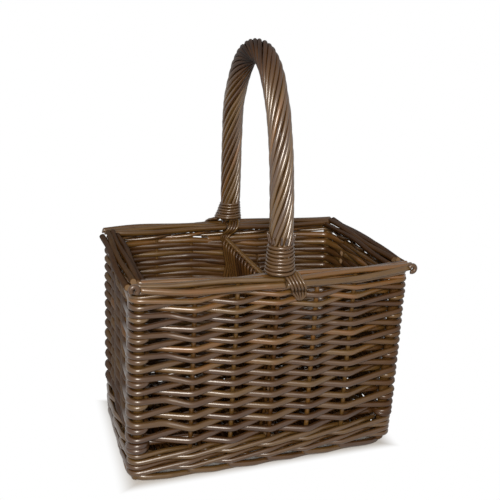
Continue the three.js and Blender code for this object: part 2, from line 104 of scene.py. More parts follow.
# Rods round the corner posts: an angle of 0 points out of the corner
INNER_WRAP = 0.35
OUTSIDE_ANGLES = np.linspace(-EIGHTH, EIGHTH, 5)
INSIDE_ANGLES = math.pi + np.linspace(INNER_WRAP, -INNER_WRAP, 3)
POST_PLACES = 0.1
POST_ROUNDING = 0.6 * MM
POST_SPREAD_SHARES = (1, 1, 0.65, 0.75)
BACK_POST_FULLNESSES = (1.5, 1.35)

# Four rows repeat at the two front posts, and one of them makes a full turn. Lifts are shares of the pitch.
INSIDE_ROW, SLANTED_ROW, RAISED_ROW, TURNED_ROW = 1, 2, 3, 0
CORNER_LIFT_SHARES = {INSIDE_ROW: 0, SLANTED_ROW: -0.25, RAISED_ROW: 1.2, TURNED_ROW: 0}
RAISED_STROKE_SHARE = 0.75
LAST_RAISE_SHARE = 0.3
TURN_ANGLES = np.linspace(math.pi + INNER_WRAP, -math.pi - INNER_WRAP, 19)
TURN_LIFT_SHARES = ((math.pi, -0.05), (1.2, -0.8), (-1.2, -0.8), (-math.pi, -1.25))
FIRST_TURN_ANGLES = np.linspace(math.pi + INNER_WRAP, -3 * math.pi - INNER_WRAP, 37)
FIRST_TURN_LIFT_SHARES = ((math.pi, 0), (-1, 0.05), (-math.pi, 0.5), (1 - 2 * math.pi, 0.85),
                          (-3 * math.pi, 0.2))

# Wales
BOTTOM_WALE_ROD = 5.5 * MM
TOP_WALE_ROD = 4.2 * MM
WALE_RISE_SHARE = 0.62
WALE_SLACK = 0.8 * MM
WALE_TONE = (0.6, 0.15)

# Foot border: heights and outward shifts are in radii of its rod, places in stations after the upright
FOOT_ROD = 6.8 * MM
FOOT_TONE = (0.5, 0.15)
FOOT_CORNER = 12 * MM
FOOT_CORNER_SHARE = 0.2
FOOT_BEND = ((0, 0.3, 3.3), (0.04, 0.85, 2.6))
FOOT_RUN = np.linspace(0.15, 2.0, 13)
FOOT_HEIGHTS = (2.5, 1.02)
FOOT_DESCENT = 1.1
FOOT_SHIFTS = (0.9, -0.6)
FOOT_TUCK_START = 0.6
FOOT_TUCK = 0.5

# Base
BASE_STICK = 6 * MM
BASE_WEAVER = 4.2 * MM
BASE_WEAVER_GAP = 0.2 * MM
BASE_WEAVER_FULLNESS = 1.16
BASE_WEAVER_RODS = 12
BASE_WEAVER_GLOSS = 0.08
# The base weaver's dark tone is painted shade for the dark inside of the basket
BASE_WEAVER_SHADED_TONE = (0.2, 0.12)
HIDDEN_TONE = (0.4, 0.1)
CAP_REACH_SHARE = 1.11
CAP_CORNER_SHARE = 0.63

# Divider, with a thin rod wound round its top edge
DIVIDER_ROD = 5 * MM
DIVIDER_RODS = 4
SKEIN = 3.6 * MM
SKEIN_GAP = 1.2 * MM
SKEIN_TONES = (0.4, 0.25)
SKEIN_TONE_SPREAD = 0.12
SKEIN_PASSES = (2, 4, 4, 6)
WHIPPING_ROD = 2 * MM
WHIPPING_RADIUS = 1.9 * MM
WHIPPING_PITCH = 3 * MM
WHIPPING_STEPS = 8
# The wound rod's light tone is partly its own and partly a painted highlight along the divider's top edge
WHIPPING_HIGHLIGHT_TONE = 0.75

# Top border: its rods lie side by side, two on the crown and one lower on each edge
BORDER_ROD = 6 * MM
BORDER_FULLNESS = 1.1
BORDER_EDGE_DROP = 2.8 * MM
BORDER_SWAY = 1.1 * MM
BORDER_LAY = 24 * MM
BORDER_POINTS = 33
PART_REACH = 1.1 * LONG_STAKES[1]
END_STAGGER_SHARES = {"outer_edge": 0.5, "outer_crown": 0, "inner_crown": 0.4, "inner_edge": 0.9}
END_GAP = 0.5 * MM
END_SHIFTS = ((12 * MM, -3 * MM), (1 * MM, 8 * MM), (9 * MM, -5 * MM), (-2 * MM, 11 * MM))
DRAWN_IN = 40 * MM
DRAWN_IN_SHARE = 0.3
FRONT_SAG = 3.2 * MM
EDGE_SAG = 2.6 * MM

# Tones of the two halves of a front rod, and of the other walls' rods
FRONT_TONES = {"outer_edge": (0.8, 0.6), "outer_crown": (0.7, 0.85), "inner_crown": (0.95, 0.95),
               "inner_edge": (0.5, 0.3)}
BORDER_TONES = {"right": 0.2, "back": 0.5, "left": 0.35}
HALF_TONE_STEP = 0.05
BORDER_TONE_SPREAD = 0.08
BORDER_GLOSSES = (1, 0.2, 0.6, 0.12)

# Loops at the front corners: middle, and the angle in degrees where the rod starts
LOOPS = ((np.array([-148.5, -106, 219.5]) * MM, 215), (np.array([151.5, -105.5, 219.5]) * MM, 150))
LOOP_SWEEP = 260
LOOP_RADIUS = 3.6 * MM
LOOP_ROD = 5.2 * MM
LOOP_TONE = (0.45, 0.1)

# Handle: a bow with rods laid up round it. The arch is a rounded square, 2 would be an ellipse.
HANDLE_RISE = 217 * MM
ARCH_SQUARENESS = 2.3
BACK_FOOT_SKEW = 6.7 * MM
SKEW_RISE = 150 * MM
BOW_DIAMETER = 13 * MM
BOW_FULLNESS = 0.97
BOW_TONE = 0.3
BOW_FOOT_TONE = 0.35
BOW_FOOT_GAP = 2 * MM
ROPE_DIAMETER = 25 * MM
ROPE_STRAND = 4.65 * MM
ROPE_STRANDS = 13
ROPE_LEAD = 184 * MM
ROPE_TONE = (0.7, 0.22)
ROPE_DRIFT = 0.05
ROPE_PINCH = 1.2 * MM
# Over the top of the arch the strands swell, their tone is darkened there as painted shade, and their coat
# thins
ARCH_TOP_START = 0.75
ARCH_TOP_SHADE_AND_DULLING = 0.85
ARCH_TOP_SWELL = 0.14

# Collars, and the rope's frayed ends over the front one
COLLAR_SKEIN = 3.1 * MM
COLLAR_PITCH = 3.7 * MM
COLLAR_TURNS = 8
COLLAR_TONE = 0.55
COLLAR_FLATNESS = 0.8
COLLAR_STEPS = 20
COLLAR_WAIST = 0.7
FRONT_COLLAR_DROP = FRONT_SAG + 2.5 * MM
BACK_COLLAR_LEAN = 2.8 * MM
TURN_TILT = 0.5 * MM
LOOSE_TURN = 1.6 * MM
LOOSE_TURN_ANGLE = 2.4
FRAYED_ENDS = 13
FRAYED_ROD = 3.2 * MM
FRAY_LEVEL = COLLAR_TURNS * COLLAR_PITCH - 1 * MM
FRAY_RADIUS = 12 * MM
FRAY_STRAY = (-0.25, 0.25)
FRAY_REACH = (13.4 * MM, 14.4 * MM)
FRAY_RISE = (5 * MM, 9 * MM)
FRAY_TONES = (0.05, 0.35)

# Ties: turns are shares of a quarter turn, the top is in reaches, a drop is an inward step and reaches
TIE_ROD = 3.6 * MM
TIE_THICKNESS = 3.2 * MM
TIE_FULLNESS = 1.03
TIE_TONE = (0.55, 0.12)
TIE_TOP = 1.5
TIE_CROWN_TURNS = (1.1, 0.7)
TIE_EDGE_TURNS = (0.4, 0, -0.5)
TIE_DROPS = ((0, 1.6), (0, 2.6), (1.5 * MM, 3.6))
TIE_GATHERS = (0.5, 0.9, 1, 1, 1, 1, 1, 0.8, 0.2)
TIE_REFERENCE = np.array([1.0, 0.1, 0.3])

# How finely the rods are drawn
STEP = 3 * MM
FINE_STEP = 2 * MM
BEND = 3 * MM
TIGHT_BEND = 1.5 * MM
SIDES = 10

# How a rod differs from a plain tube: knots and cut ends are measured in its diameters
SWAY_WAVES = (14 * MM, 45 * MM)
SWELL_WAVES = (9 * MM, 30 * MM)
ANY_PHASE = (0, 7)
SWELL = 0.02
OVAL = 0.03
THREE_SIDED = 0.02
KNOT_LENGTH = 0.45
KNOT_HEIGHTS = (0.06, 0.14)
FIRST_KNOT = (0.2, 1)
NEXT_KNOT = (0.6, 1.6)
STEADY_END = 4
CUT_REACH = 0.4
BEVEL_SHARE = 0.9
BEVEL_REACH = 0.12

# Between which shares of its size a rod's thickness is left to chance
ROD_RANGE = (0.97, 1.03)
ROD_TAPERS = ((1.0, 1.06), (0.92, 1.0))
WALE_RANGE = (0.96, 1.02)
FOOT_RANGE = (0.94, 1.0)
SKEIN_RANGE = (0.95, 1.03)
STRAND_RANGE = (0.94, 1.05)

# Camera, fitted to the basket's corners, rows and handle in the photograph. Its angles are in degrees.
CAMERA_AZIMUTH = -20.548
CAMERA_ELEVATION = 13.031
CAMERA_ROLL = 2.679
CAMERA_DISTANCE = 831.196 * MM
CAMERA_TARGET = np.array([26.105, 0, 277.67]) * MM
FRAME_PIXELS = 500
FOCAL_PIXELS = 729.866
CENTRE_PIXELS = (272.647, 198.352)
SENSOR_WIDTH = 36
CLIP_START = 10 * MM

# Light and floor. The floor turns from grey to white round the basket, between two shares of its base.
WHITE = (1, 1, 1, 1)
DAYLIGHT = 0.03
DAYLIGHT_COLOR = (0.96, 0.98, 1, 1)
LAMP_AZIMUTH = -20
LAMP_ELEVATION = 26
LAMP_DISTANCE = 2.0
LAMP_TARGET = Vector((0, 0, 200 * MM))
LAMP_SIZE = (0.5, 0.65)
LAMP_POWER = 61
LAMP_COLOR = (1, 0.93, 0.84)
FLOOR_REACH = 6
FLOOR_COLOR = (0.6, 0.6, 0.6, 1)
FLOOR_FADE = (0.9, 1.07)

# Willow: stained brown under a clear varnish. A noise has a scale, a detail and a stretch along the rod.
WILLOW_TONES = (
    (0.0, (0.016, 0.007, 0.003)),
    (0.25, (0.042, 0.017, 0.004)),
    (0.5, (0.058, 0.027, 0.007)),
    (0.75, (0.080, 0.043, 0.011)),
    (1.0, (0.118, 0.049, 0.011)),
)
CUT_WOOD = (0.12, 0.075, 0.04, 1)
STREAKS = (1400, 3, 14)
PATCHES = (90, 2, 2.5)
SPECKS = (2600, 2, 1.5)
STREAK_SHARE = 0.55
PATCH_SHARE = 0.5
SPECK_SHARE = 0.3
ROUGHNESS_SPREAD = 0.2
BARK_DEPTH = 0.12 * MM
BARK_STRENGTH = 0.5
COAT_ROUGHNESS = 0.32


def mix(a, b, share):
    return a + (b - a) * share


# Heights and wall surfaces, worked out as in the frame

def row_pitch(row):
    return mix(BOTTOM_PITCH, TOP_PITCH, row / (ROWS - 1))


def row_thickness(row):
    return row_pitch(row) * mix(*ROD_FULLNESSES, row / (ROWS - 1))


def half_wall_at(z):
    widths = [(row_pitch(row) - ROW_GAP) * WEAVER_FLATNESS for row in (0, ROWS - 1)]
    return STAKE_DIAMETER / 2 + CLEARANCE + mix(*widths, z / WALL_HEIGHT)


def half_length_at(z):
    return mix(BASE_LENGTH, BASKET_LENGTH, z / WALL_HEIGHT) / 2 - half_wall_at(z)


def half_width_at(z):
    return mix(BASE_WIDTH, BASKET_WIDTH, z / WALL_HEIGHT) / 2 - half_wall_at(z)


def is_long(wall):
    return wall % 2 == 0


def half_along(wall, z):
    return half_length_at(z) if is_long(wall) else half_width_at(z)


def turned(point, angle):
    c, s = math.cos(angle), math.sin(angle)
    return np.array([point[0] * c - point[1] * s, point[0] * s + point[1] * c, point[2]])


def wall_point(wall, along, outward, z):
    """A point of a wall: along it from its middle, and outward from its stakes."""
    bow = LONG_WALL_BOW if is_long(wall) else SHORT_WALL_BOW
    bow *= 1 - min(1, (along / half_along(wall, z)) ** 2)
    return turned(np.array([along, -(half_along(wall + 1, z) + bow + outward), z]), wall * QUARTER)


def corner_point(corner, inset, z):
    side_x, side_y = CORNER_SIDES[corner]
    return np.array([side_x * (half_length_at(z) - inset), side_y * (half_width_at(z) - inset), z])


def post_point(corner, z):
    return corner_point(corner, POST_INSET, z)


def corner_step(corner, angle, length):
    """A level step at an angle to the direction that points out of the corner."""
    direction = corner * QUARTER - 3 * EIGHTH + angle
    return np.array([math.cos(direction), math.sin(direction), 0]) * length


# Stations: each corner post and the stakes of the wall after it, in walking order
STATIONS = []
for wall_number in range(4):
    STATIONS.append({"post": True, "wall": wall_number})
    stake_count, stake_spacing = LONG_STAKES if is_long(wall_number) else SHORT_STAKES
    for stake in range(stake_count):
        stake_place = (stake - (stake_count - 1) / 2) * stake_spacing
        STATIONS.append({"post": False, "wall": wall_number, "along": stake_place})
ROUND = len(STATIONS)
LAST_STATION = ROUND * (ROWS // 2) + STEP_LAST


def stretch_after(index, inset, z):
    """A station, the next one, and where the stretch of wall between them starts and ends."""
    here = STATIONS[index % ROUND]
    after = STATIONS[(index + 1) % ROUND]
    half = half_along(here["wall"], z)
    start = inset - half if here["post"] else here["along"]
    end = half - inset if after["post"] else after["along"]
    return here, after, start, end


def between_stations(index, z):
    here, _, start, end = stretch_after(index, POST_INSET, z)
    return wall_point(here["wall"], (start + end) / 2, 0, z)


# Levels, from the ground up
FOOT_TOP = FOOT_ROD * math.cos(math.pi / 6)
UPRIGHT_FOOT = FOOT_TOP + CLEARANCE
BOTTOM_WALE_HALF = BOTTOM_WALE_ROD * (WALE_RISE_SHARE + 0.5)
TOP_WALE_HALF = TOP_WALE_ROD * (WALE_RISE_SHARE + 0.5)
BOTTOM_WALE_PITCH = 2 * BOTTOM_WALE_HALF + CLEARANCE
BOTTOM_WALE_LEVEL = 2 * FOOT_TOP + CLEARANCE + BOTTOM_WALE_HALF
WALES_TOP = BOTTOM_WALE_LEVEL + BOTTOM_WALE_PITCH + BOTTOM_WALE_HALF
FIRST_ROW = WALES_TOP + CLEARANCE + (BOTTOM_PITCH - ROW_GAP) / 2


def row_level(row):
    return FIRST_ROW + row * mix(BOTTOM_PITCH, TOP_PITCH, row / (2 * (ROWS - 1)))


TOP_WALE_LEVEL = row_level(ROWS - 1) + (TOP_PITCH - ROW_GAP) / 2 + CLEARANCE + TOP_WALE_HALF
EDGE_LEVEL = TOP_WALE_LEVEL + TOP_WALE_HALF + CLEARANCE + BORDER_ROD / 2
CROWN_LEVEL = EDGE_LEVEL + BORDER_EDGE_DROP
RIM_TOP = CROWN_LEVEL + BORDER_ROD / 2
POST_TOP = EDGE_LEVEL - BORDER_ROD / 2 - CLEARANCE
STAKE_TOP = CROWN_LEVEL - BORDER_ROD / 2 - CLEARANCE
BORDER_STEP = BORDER_ROD + CLEARANCE
CROWN_OUT = BORDER_STEP / 2
EDGE_OUT = CROWN_OUT + math.sqrt(BORDER_STEP ** 2 - BORDER_EDGE_DROP ** 2)
HANDLE_FOOT = RIM_TOP + TIE_THICKNESS


# Rods: a path is an array whose columns are x, y, z and then whatever runs along with it

def unit(vectors):
    return vectors / np.linalg.norm(vectors, axis=1)[:, None]


def travel_of(points):
    return np.concatenate([[0], np.cumsum(np.linalg.norm(np.diff(points, axis=0), axis=1))])


def straight(start, end, step=STEP):
    return resampled(np.array([start, end]), step)


def resampled(path, step):
    """The path in even steps."""
    path = np.asarray(path, float)
    travel = travel_of(path[:, :3])
    keep = np.concatenate([[True], np.diff(travel) > 1e-9])
    count = max(2, int(round(travel[-1] / step)) + 1)
    places = np.linspace(0, travel[-1], count)
    return np.stack([np.interp(places, travel[keep], column) for column in path[keep].T], axis=1)


def softened(path, bend=BEND, step=STEP):
    """The path with its corners rounded: even steps, averaged over a bell of the given width."""
    even = resampled(path, step)
    reach = max(1, int(round(3 * bend / step)))
    weights = np.exp(-0.5 * (np.arange(-reach, reach + 1) * step / bend) ** 2)
    weights /= weights.sum()
    start = 2 * even[0] - even[1:reach + 1][::-1]
    end = 2 * even[-1] - even[-reach - 1:-1][::-1]
    padded = np.concatenate([start, even, end])
    return np.stack([np.convolve(column, weights, "valid") for column in padded.T], axis=1)


def chance_waves(draw, travel, lengths):
    return sum(np.sin(travel / draw.uniform(*lengths) + draw.uniform(*ANY_PHASE)) for _ in range(2))


def write_attribute(mesh, name, kind, domain, field, values):
    attribute = mesh.attributes.new(name, kind, domain)
    attribute.data.foreach_set(field, np.asarray(values, np.float32).ravel())


def add_object(name, data):
    made = bpy.data.objects.new(name, data)
    bpy.context.scene.collection.objects.link(made)
    return made


class Rods:
    """Collects rods into one mesh, with each rod's own coordinates, tone, gloss and cut ends."""

    def __init__(self, seed, gloss=1):
        self.random = random.Random(seed)
        self.gloss = gloss
        self.points = []
        self.places = []
        self.looks = []
        self.faces = []
        self.cuts = []
        self.count = 0

    def rod(self, path, diameter, tone, reference=UP, sides=SIDES, taper=(1, 1), flat=1.0, knots=0.06,
            wobble=0.25 * MM, slant=(0.3, 0.3), sway_ends=True, fullness=1, gloss=None):
        """A rod along path. knots is the usual length between leaf knots; slant tilts its two cut ends.

        fullness is a share of the diameter. It, tone and gloss are one for all or one for each point.
        """
        path = np.asarray(path, float)[:, :3]
        looks = np.empty((len(path), 2))
        looks[:, 0] = tone
        looks[:, 1] = self.gloss if gloss is None else gloss
        travel = travel_of(path)
        total = travel[-1]
        draw = self.random
        tangent = unit(np.gradient(path, axis=0))
        side = unit(np.cross(reference, tangent))
        top = np.cross(tangent, side)
        fade = np.ones(len(path))
        if not sway_ends:
            fade = np.clip(np.minimum(travel, total - travel) / (STEADY_END * diameter), 0, 1)
        for axis in (side, top):
            path = path + axis * (chance_waves(draw, travel, SWAY_WAVES) * wobble / 2 * fade)[:, None]
        swell = 1 + SWELL * chance_waves(draw, travel, SWELL_WAVES)
        radius = diameter / 2 * swell * fullness * np.interp(travel, [0, total], taper)
        angles = np.arange(sides) * 2 * math.pi / sides
        angles = angles + draw.uniform(0, 2 * math.pi / sides)
        lobes = 1 + OVAL * np.cos(2 * angles + draw.uniform(*ANY_PHASE))
        lobes = lobes + THREE_SIDED * np.cos(3 * angles + draw.uniform(*ANY_PHASE))
        radii = radius[:, None] * lobes[None, :]
        if knots:
            radii = radii * self.knot_shares(angles, travel, diameter, knots)
        across = radii * np.cos(angles)[None, :] * flat
        upward = radii * np.sin(angles)[None, :]
        near = np.exp(-(travel / (CUT_REACH * diameter)) ** 2)[:, None] * math.tan(slant[0])
        far = np.exp(-((total - travel) / (CUT_REACH * diameter)) ** 2)[:, None] * math.tan(slant[1])
        shift = upward * (near - far)
        rings = (path[:, None, :] + across[..., None] * side[:, None, :]
                 + upward[..., None] * top[:, None, :] + shift[..., None] * tangent[:, None, :])
        along = np.broadcast_to(travel[:, None] + draw.uniform(0, 5), across.shape)
        coords = np.stack([across, upward, along], axis=-1)
        first = self.count
        last = first + (len(path) - 1) * sides
        self.add(rings.reshape(-1, 3), coords.reshape(-1, 3), np.repeat(looks, sides, axis=0))
        for low in range(first, last, sides):
            self.band(low, low + sides, sides)
        self.cap(rings[0], coords[0], looks[0], -tangent[0], first, True)
        self.cap(rings[-1], coords[-1], looks[-1], tangent[-1], last, False)

    def knot_shares(self, angles, travel, diameter, spacing):
        """What each point's radius is multiplied by, so that leaf knots swell on one side of the rod."""
        draw = self.random
        shares = np.ones((len(travel), len(angles)))
        place = draw.uniform(*FIRST_KNOT) * spacing
        while place < travel[-1] - diameter:
            facing = draw.uniform(0, 2 * math.pi)
            bump = np.exp(-((travel - place) / (KNOT_LENGTH * diameter)) ** 2)[:, None]
            lean = np.clip(np.cos(angles - facing), 0, 1)[None, :] ** 2
            shares = shares * (1 + draw.uniform(*KNOT_HEIGHTS) * bump * lean)
            place += draw.uniform(*NEXT_KNOT) * spacing
        return shares

    def add(self, points, places, looks):
        self.points.append(points)
        self.places.append(places)
        self.looks.append(np.broadcast_to(looks, (len(points), 2)))
        self.count += len(points)

    def band(self, low, high, sides, flipped=False):
        """Faces between two rings, from the numbers of their first points."""
        for j in range(sides):
            k = (j + 1) % sides
            quad = (low + j, low + k, high + k, high + j)
            self.faces.append(quad[::-1] if flipped else quad)
            self.cuts.append(0.0)

    def cap(self, ring, coords, looks, outward, first, at_start):
        """A cut end with a small bevel."""
        sides = len(ring)
        centre = ring.mean(0)
        middle = coords.mean(0)
        step = outward * np.linalg.norm(ring - centre, axis=1).mean() * BEVEL_REACH
        bevel = self.count
        self.add(centre + (ring - centre) * BEVEL_SHARE + step, mix(middle, coords, BEVEL_SHARE), looks)
        self.band(first, bevel, sides, at_start)
        tip = self.count
        self.add((centre + step)[None], middle[None], looks)
        for j in range(sides):
            triangle = (bevel + j, bevel + (j + 1) % sides, tip)
            self.faces.append(triangle[::-1] if at_start else triangle)
            self.cuts.append(1.0)

    def piece(self, node, slot):
        """Makes the object that stands for a CAD node."""
        name = f"{node}_willow"
        mesh = bpy.data.meshes.new(name)
        mesh.from_pydata(np.concatenate(self.points).tolist(), [], self.faces)
        mesh.polygons.foreach_set("use_smooth", np.array(self.cuts) < 0.5)
        tones, glosses = np.concatenate(self.looks).T
        write_attribute(mesh, "rod_place", "FLOAT_VECTOR", "POINT", "vector", np.concatenate(self.places))
        write_attribute(mesh, "rod_tone", "FLOAT", "POINT", "value", tones)
        write_attribute(mesh, "rod_gloss", "FLOAT", "POINT", "value", glosses)
        write_attribute(mesh, "cut_end", "FLOAT", "FACE", "value", self.cuts)
        mesh.materials.append(WILLOWS[slot])
        mesh.update()
        made = add_object(name, mesh)
        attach(made, BODY)
        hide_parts(node)


def pick_tone(draw, middle=0.5, spread=0.22):
    """A chance tone between 0.05, nearly the darkest, and 1."""
    return min(1, max(0.05, draw.gauss(middle, spread)))


# Camera, light and floor

def view_direction(azimuth, elevation):
    """The direction towards a viewer, who stands in front of the basket at azimuth 0."""
    a, e = math.radians(azimuth), math.radians(elevation)
    return np.array([math.sin(a) * math.cos(e), -math.cos(a) * math.cos(e), math.sin(e)])


def aim_camera():
    azimuth, roll = math.radians(CAMERA_AZIMUTH), math.radians(CAMERA_ROLL)
    back = view_direction(CAMERA_AZIMUTH, CAMERA_ELEVATION)
    right = np.array([math.cos(azimuth), math.sin(azimuth), 0])
    above = np.cross(back, right)
    rolled_right = math.cos(roll) * right + math.sin(roll) * above
    rolled_up = -math.sin(roll) * right + math.cos(roll) * above
    data = bpy.data.cameras.new("camera")
    data.sensor_width = SENSOR_WIDTH
    data.lens = FOCAL_PIXELS / FRAME_PIXELS * SENSOR_WIDTH
    data.shift_x = (FRAME_PIXELS / 2 - CENTRE_PIXELS[0]) / FRAME_PIXELS
    data.shift_y = (CENTRE_PIXELS[1] - FRAME_PIXELS / 2) / FRAME_PIXELS
    data.clip_start = CLIP_START
    camera = add_object("camera", data)
    place = CAMERA_TARGET + back * CAMERA_DISTANCE
    columns = np.stack([rolled_right, rolled_up, back, place], axis=1)
    camera.matrix_world = Matrix([*columns.tolist(), [0, 0, 0, 1]])
    bpy.context.scene.camera = camera


def add_lamp():
    back = Vector(view_direction(LAMP_AZIMUTH, LAMP_ELEVATION))
    data = bpy.data.lights.new("key", "AREA")
    data.shape = "RECTANGLE"
    data.size, data.size_y = LAMP_SIZE
    data.energy = LAMP_POWER
    data.color = LAMP_COLOR
    lamp = add_object("key", data)
    lamp.location = LAMP_TARGET + back * LAMP_DISTANCE
    lamp.rotation_euler = back.to_track_quat("Z", "Y").to_euler()


def set_inputs(tree, node, inputs):
    """Each input is a number, a colour or the output of another node."""
    for name, value in inputs.items():
        if isinstance(value, bpy.types.NodeSocket):
            tree.links.new(value, node.inputs[name])
        else:
            node.inputs[name].default_value = value


def add_node(tree, kind, inputs=(), **settings):
    """The outputs of a new node with these inputs and settings."""
    node = tree.nodes.new(f"ShaderNode{kind}")
    for name, value in settings.items():
        setattr(node, name, value)
    set_inputs(tree, node, dict(inputs))
    return node.outputs


def calculate(tree, operation, *values):
    return add_node(tree, "Math", enumerate(values), operation=operation)[0]


def seen_directly(tree):
    """1 for rays that come from the camera, a mirror or glass, and 0 for the light that falls on things."""
    rays = add_node(tree, "LightPath")
    not_through = calculate(tree, "MAXIMUM", rays["Is Camera Ray"], rays["Is Glossy Ray"])
    return calculate(tree, "MAXIMUM", not_through, rays["Is Transmission Ray"])


def show_mixed(tree, share, first, second, output_kind):
    """Sends the first shader to the output, or by share the second."""
    mixed = add_node(tree, "MixShader", {0: share, 1: first[0], 2: second[0]})
    add_node(tree, output_kind, {"Surface": mixed[0]})


def set_world():
    world = bpy.data.worlds.new("studio")
    bpy.context.scene.world = world
    world.use_nodes = True
    tree = world.node_tree
    tree.nodes.clear()
    lit = add_node(tree, "Background", {"Color": DAYLIGHT_COLOR, "Strength": DAYLIGHT})
    shown = add_node(tree, "Background", {"Color": WHITE, "Strength": 1})
    show_mixed(tree, seen_directly(tree), lit, shown, "OutputWorld")


def add_floor():
    mesh = bpy.data.meshes.new("floor")
    mesh.from_pydata([(x * FLOOR_REACH, y * FLOOR_REACH, 0) for x, y in CORNER_SIDES], [], [(0, 1, 2, 3)])
    floor = add_object("floor", mesh)
    material = bpy.data.materials.new("white floor")
    material.use_nodes = True
    tree = material.node_tree
    tree.nodes.clear()
    matt = add_node(tree, "BsdfDiffuse", {"Color": FLOOR_COLOR})
    white = add_node(tree, "Emission", {"Color": WHITE, "Strength": 1})
    place = add_node(tree, "NewGeometry")["Position"]
    base = (2 / BASE_LENGTH, 2 / BASE_WIDTH, 1)
    shares = add_node(tree, "VectorMath", {0: place, 1: base}, operation="MULTIPLY")
    sizes = add_node(tree, "VectorMath", {0: shares["Vector"]}, operation="ABSOLUTE")
    parts = add_node(tree, "SeparateXYZ", {0: sizes["Vector"]})
    farther = calculate(tree, "MAXIMUM", parts["X"], parts["Y"])
    span = {"From Min": FLOOR_FADE[0], "From Max": FLOOR_FADE[1], "Value": farther}
    fading = add_node(tree, "MapRange", span, interpolation_type="SMOOTHSTEP")
    share = calculate(tree, "MULTIPLY", seen_directly(tree), fading["Result"])
    show_mixed(tree, share, matt, white, "OutputMaterial")
    mesh.materials.append(material)


def willow(name, roughness, coat, coat_ior):
    """Varnished willow. Each rod brings its own tone and gloss, and its streaks run along it."""
    material = bpy.data.materials.new(name)
    material.use_nodes = True
    tree = material.node_tree

    def attribute(label, output="Fac"):
        return add_node(tree, "Attribute", attribute_name=label)[output]

    def noise(vector, scale, detail, stretch):
        spread = add_node(tree, "Mapping", {"Vector": vector, "Scale": (scale, scale, scale / stretch)})
        return add_node(tree, "TexNoise", {"Vector": spread[0], "Scale": 1, "Detail": detail})["Fac"]

    place = attribute("rod_place", "Vector")
    streaks = noise(place, *STREAKS)
    patches = noise(place, *PATCHES)
    specks = noise(place, *SPECKS)
    tone = calculate(tree, "MULTIPLY_ADD", patches, PATCH_SHARE, attribute("rod_tone"))
    tone = calculate(tree, "MULTIPLY_ADD", streaks, STREAK_SHARE, tone)
    tone = calculate(tree, "SUBTRACT", tone, (PATCH_SHARE + STREAK_SHARE) / 2)
    ramp = tree.nodes.new("ShaderNodeValToRGB")
    elements = ramp.color_ramp.elements
    while len(elements) < len(WILLOW_TONES):
        elements.new(0.5)
    for element, (position, color) in zip(elements, WILLOW_TONES):
        element.position = position
        element.color = (*color, 1)
    set_inputs(tree, ramp, {"Fac": tone})
    woods = {"Factor": attribute("cut_end"), "A": ramp.outputs["Color"], "B": CUT_WOOD}
    bark = {"Height": calculate(tree, "MULTIPLY_ADD", specks, SPECK_SHARE, streaks),
            "Distance": BARK_DEPTH, "Strength": BARK_STRENGTH}
    rough = calculate(tree, "MULTIPLY_ADD", patches, ROUGHNESS_SPREAD, roughness - ROUGHNESS_SPREAD / 2)
    set_inputs(tree, tree.nodes["Principled BSDF"], {
        "Base Color": add_node(tree, "Mix", woods, data_type="RGBA")["Result"],
        "Roughness": rough,
        "Normal": add_node(tree, "Bump", bark)[0],
        "Coat Weight": calculate(tree, "MULTIPLY", attribute("rod_gloss"), coat),
        "Coat Roughness": COAT_ROUGHNESS,
        "Coat IOR": coat_ior,
        "Specular IOR Level": 0,
    })
    return material


# The willow of each slot: its roughness, and the weight and index of refraction of its coat
WILLOWS = {
    "wall_willow": willow("wall willow", 0.3, 0.9, 1.62),
    "upright_willow": willow("upright willow", 0.36, 0.3, 1.6),
    "border_willow": willow("border willow", 0.34, 0.85, 1.6),
    "divider_willow": willow("divider willow", 0.38, 0.25, 1.6),
    "handle_willow": willow("handle willow", 0.26, 1, 1.75),
    "binding_willow": willow("binding willow", 0.3, 0.8, 1.6),
}


# Uprights. The middle stake of each long wall is a foot of the handle's bow.

def add_uprights():
    counts = [0, 0, 0, 0]
    for number, station in enumerate(STATIONS):
        wall = station["wall"]
        if station["post"]:
            node = f"corner_post_{CORNERS[wall]}"
            ends = (post_point(wall, UPRIGHT_FOOT), post_point(wall, POST_TOP))
            diameter = POST_DIAMETER
        else:
            counts[wall] += 1
            along = station["along"]
            if is_long(wall) and along == 0:
                continue
            node = f"stake_{WALLS[wall]}_{counts[wall]}"
            ends = (wall_point(wall, along, 0, UPRIGHT_FOOT), wall_point(wall, along, 0, STAKE_TOP))
            diameter = STAKE_DIAMETER
        rods = Rods(100 + number)
        rods.rod(straight(*ends), diameter, pick_tone(rods.random, *UPRIGHT_TONE), ALONG_X, wobble=0.3 * MM,
                 gloss=UPRIGHT_GLOSS_SHARE * WALL_GLOSSES[wall])
        rods.piece(node, "upright_willow")


# Wall weave: two weavers chase each other up the walls, each cut into rods that follow on

def pass_station(index, outside, spread, rod_width, z, turn=None):
    """Points of a rod past one station, each with its place in stations. turn is from post_turn."""
    station = STATIONS[index % ROUND]
    wall = station["wall"]
    if not station["post"]:
        return [(wall_point(wall, station["along"], spread if outside else -spread, z), index)]
    clear = (POST_DIAMETER / 2 + rod_width / 2 + POST_ROUNDING) * POST_SPREAD_SHARES[wall]
    angles = OUTSIDE_ANGLES if outside else INSIDE_ANGLES
    angles, lifts = turn or (angles, np.zeros(len(angles)))
    middle = post_point(wall, z)
    shares = np.linspace(-POST_PLACES, POST_PLACES, len(angles))
    return [(middle + corner_step(wall, angle, clear) + UP * lift, index + share)
            for angle, lift, share in zip(angles, lifts, shares)]


def weaver_row(index, first_row):
    lap = max(0, (index - STEP_LAST) // ROUND)
    past_step = index - (lap + 1) * ROUND - STEP_FIRST
    row = first_row + 2 * (lap + max(0, past_step) / (STEP_LAST - STEP_FIRST))
    return min(row, first_row + ROWS - 2)


def post_turn(row):
    """Angles and lifts of a full turn round a front post. The lowest row makes two turns."""
    angles, lift_shares = TURN_ANGLES, TURN_LIFT_SHARES
    if row < 1:
        angles, lift_shares = FIRST_TURN_ANGLES, FIRST_TURN_LIFT_SHARES
    places, shares = zip(*lift_shares[::-1])
    return angles, np.interp(angles, places, shares) * row_pitch(row)


